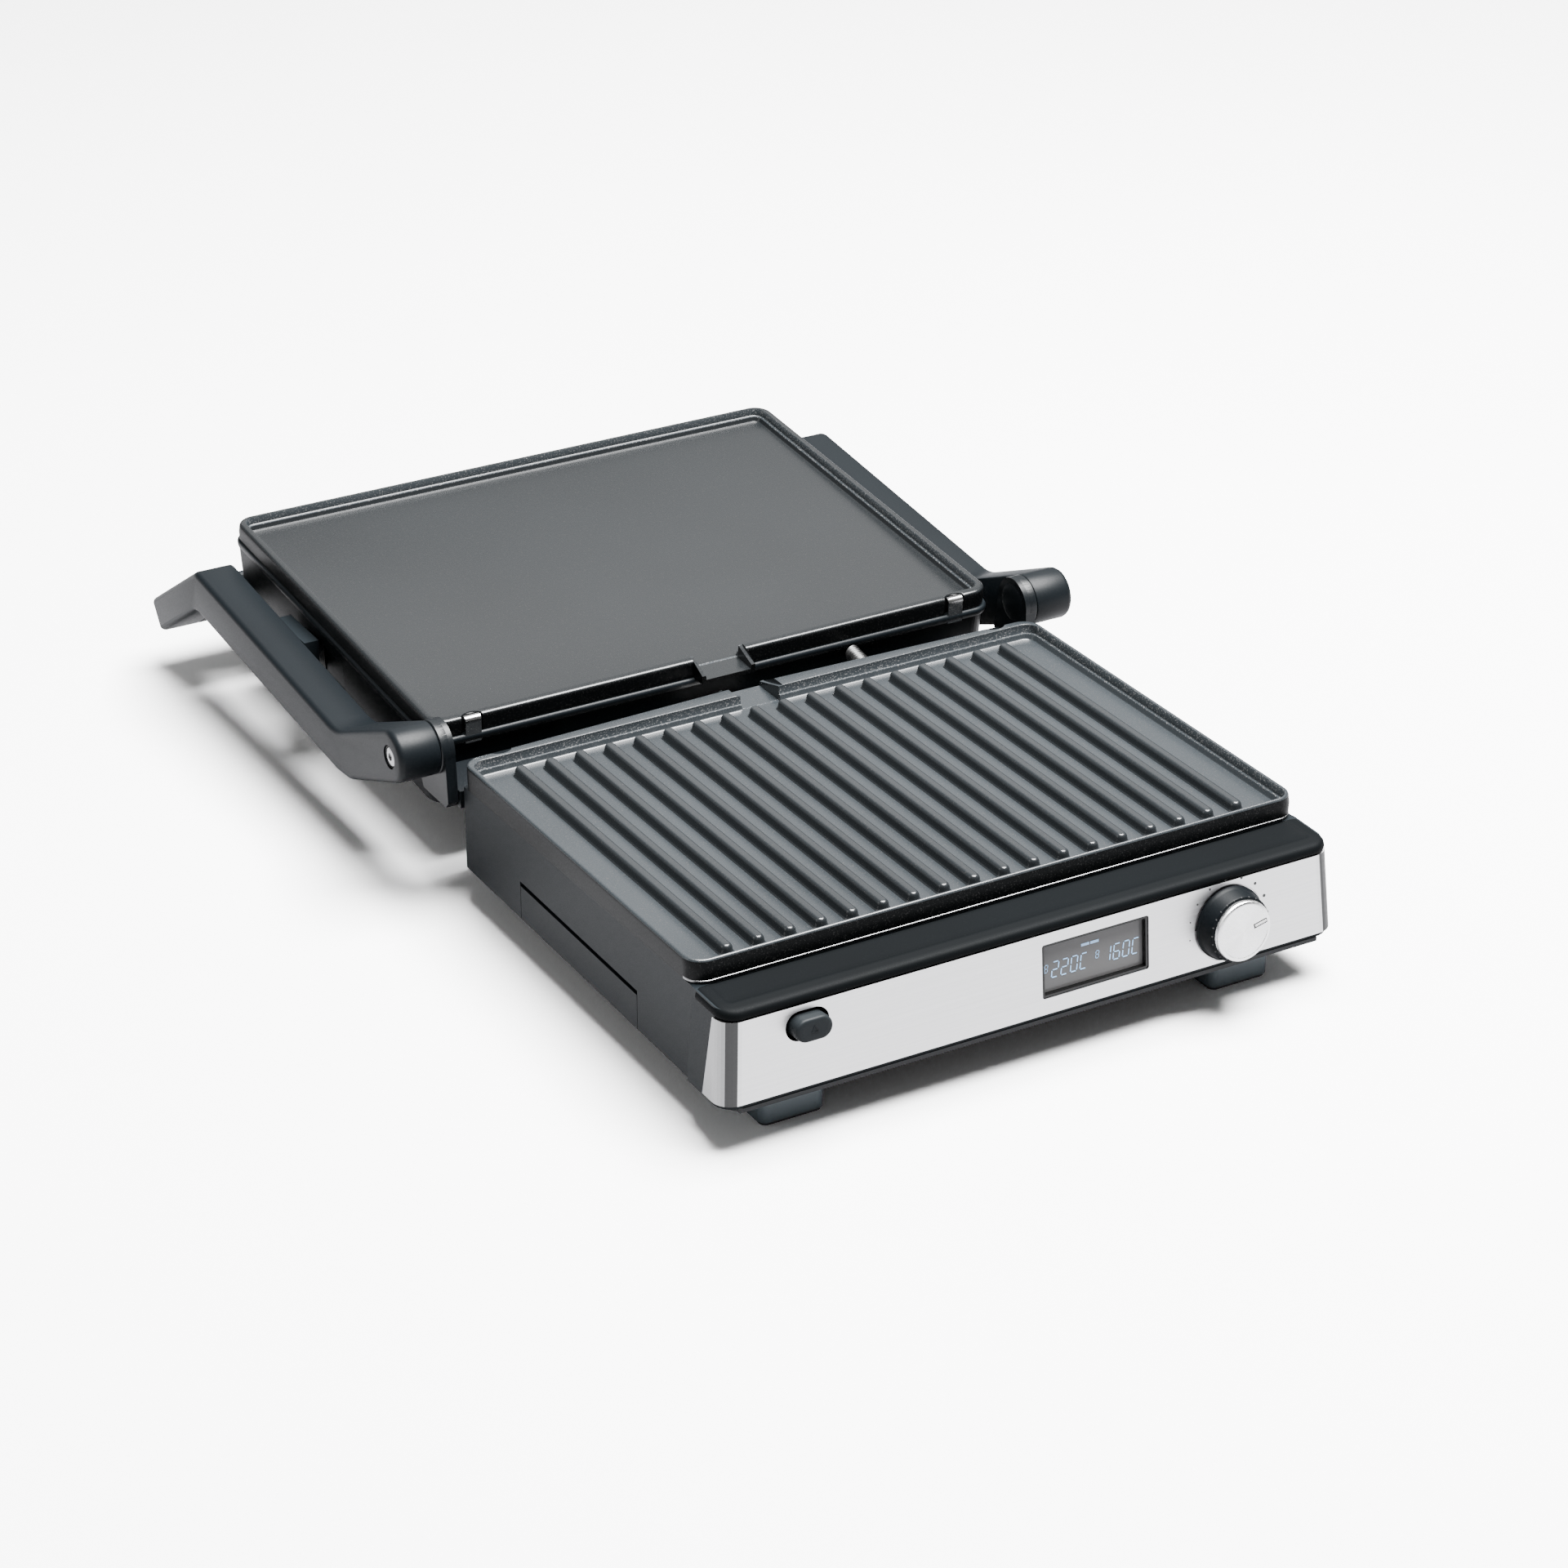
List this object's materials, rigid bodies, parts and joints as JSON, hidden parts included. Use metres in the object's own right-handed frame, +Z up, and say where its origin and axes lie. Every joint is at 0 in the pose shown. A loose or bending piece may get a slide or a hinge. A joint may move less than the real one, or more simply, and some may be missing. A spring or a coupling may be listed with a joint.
{
  "type": "panini press",
  "caption": "Contact grill with a ribbed lower plate and a flat upper plate on a hinged lid that opens level, with U handle, control knob, display and side drip tray.",
  "frame": {"origin": "on the table under the middle of the opened appliance", "axes": "+Z up, +X to the right seen from the front, +Y from the controls towards the handle's grip"},
  "size_m": [0.354, 0.5584, 0.0904],
  "materials": {
    "body_grey": "satin dark grey",
    "hinge_grey": "satin near-black",
    "lid_grey": "satin dark grey",
    "grill_coating": "speckled non-stick",
    "griddle_coating": "speckled non-stick",
    "steel_panel": "brushed along its length",
    "bezel_black": "gloss black",
    "display": "dark glass",
    "module": "matte",
    "board": "green board",
    "knob_black": "matte black",
    "knob_cap": "spun",
    "steel_small": "plain",
    "chrome_small": "polished",
    "rubber_black": "matte",
    "foot_grey": "satin dark grey",
    "reflector": "bright sheet",
    "heater": "dull oxide",
    "ceramic": "ceramic",
    "frame_black": "satin black",
    "conduit": "wound strip"
  },
  "bodies": {
    "base": {"base_front": "body_grey", "wall_left": "body_grey", "wall_right": "body_grey", "rear_wall": "body_grey", "bottom_cover": "hinge_grey", "front_panel": "steel_panel", "display_bezel": "bezel_black", "display_glass": "display", "display_module": "module", "control_board": "board", "power_board": "board", "encoder": "steel_small", "button_spring": "steel_small", "feet": "foot_grey", "foot_pads": "rubber_black", "bottom_screws": "steel_small", "drain_gutter": "steel_small", "lower_reflector": "reflector", "lower_heater": "heater", "lower_thermostat": "ceramic", "lower_clips": "chrome_small", "hinge_housing": "hinge_grey", "hinge_brackets": "hinge_grey", "hinge_pins": "steel_small", "friction_washers": "module", "hub_washers": "steel_small", "hub_screws": "chrome_small", "cord_gland": "rubber_black", "cable_conduit": "conduit"},
    "knob": {"knob_skirt": "knob_black", "knob_cap": "knob_cap"},
    "release": {"release_button": "body_grey"},
    "latch": {"latch_bar": "steel_small"},
    "tray": {"drip_tray": "body_grey"},
    "grill": {"grill_plate": "grill_coating"},
    "handle": {"arm_left": "body_grey", "arm_right": "body_grey", "grip_bar": "body_grey", "grip_screws": "steel_small", "pivot_block_left": "body_grey", "pivot_block_right": "body_grey"},
    "lid": {"lid_housing": "lid_grey", "lid_frame": "frame_black", "griddle_clips": "chrome_small", "upper_reflector": "reflector", "upper_heater": "heater", "upper_thermostat": "ceramic", "levelling_springs": "steel_small", "griddle_release_spring": "steel_small"},
    "griddle": {"griddle_plate": "griddle_coating"},
    "lid_release": {"griddle_release": "body_grey"}
  },
  "joints": [
    {"name": "lid_hinge", "type": "hinge", "parent": "base", "child": "handle", "pos_m": [0, -0.00517, 0.0735], "axis": [1, 0, 0], "range_deg": [0, 175], "deforming": ["cable_conduit"]},
    {"name": "lid_float", "type": "hinge", "parent": "handle", "child": "lid", "pos_m": [0, 0.14986, 0.0581], "axis": [-1, 0, 0], "range_deg": [-4, 0], "stiffness_Nm_per_rad": 4, "springref_deg": 17.19},
    {"name": "grill_plate_lift", "type": "hinge", "parent": "base", "child": "grill", "pos_m": [0, -0.01917, 0.0602], "axis": [1, 0, 0], "range_deg": [-20, 0]},
    {"name": "griddle_plate_lift", "type": "hinge", "parent": "lid", "child": "griddle", "pos_m": [0, 0.01269, 0.06619], "axis": [-1, 0, 0], "range_deg": [-12, 0]},
    {"name": "release_press", "type": "slide", "parent": "base", "child": "release", "axis": [0, 0.9962, -0.0872], "range_m": [0, 0.003], "stiffness_N_per_m": 600, "springref_m": -0.001, "deforming": ["button_spring"]},
    {"name": "latch_slide", "type": "slide", "parent": "base", "child": "latch", "axis": [1, 0, 0], "range_m": [0, 0.003]},
    {"name": "knob_turn", "type": "hinge", "parent": "base", "child": "knob", "pos_m": [0.0957, -0.26544, 0.04107], "axis": [0, -0.9962, 0.0872], "range_deg": [0, 155]},
    {"name": "tray_slide", "type": "slide", "parent": "base", "child": "tray", "axis": [-1, 0, 0], "range_m": [0, 0.12]},
    {"name": "lid_release_press", "type": "slide", "parent": "lid", "child": "lid_release", "axis": [0, -0.9977, -0.068], "range_m": [0, 0.003], "stiffness_N_per_m": 600, "springref_m": -0.001, "deforming": ["griddle_release_spring"]}
  ],
  "couplings": [
    {"joint": "latch_slide", "follows": "release_press", "ratio": 1}
  ]
}
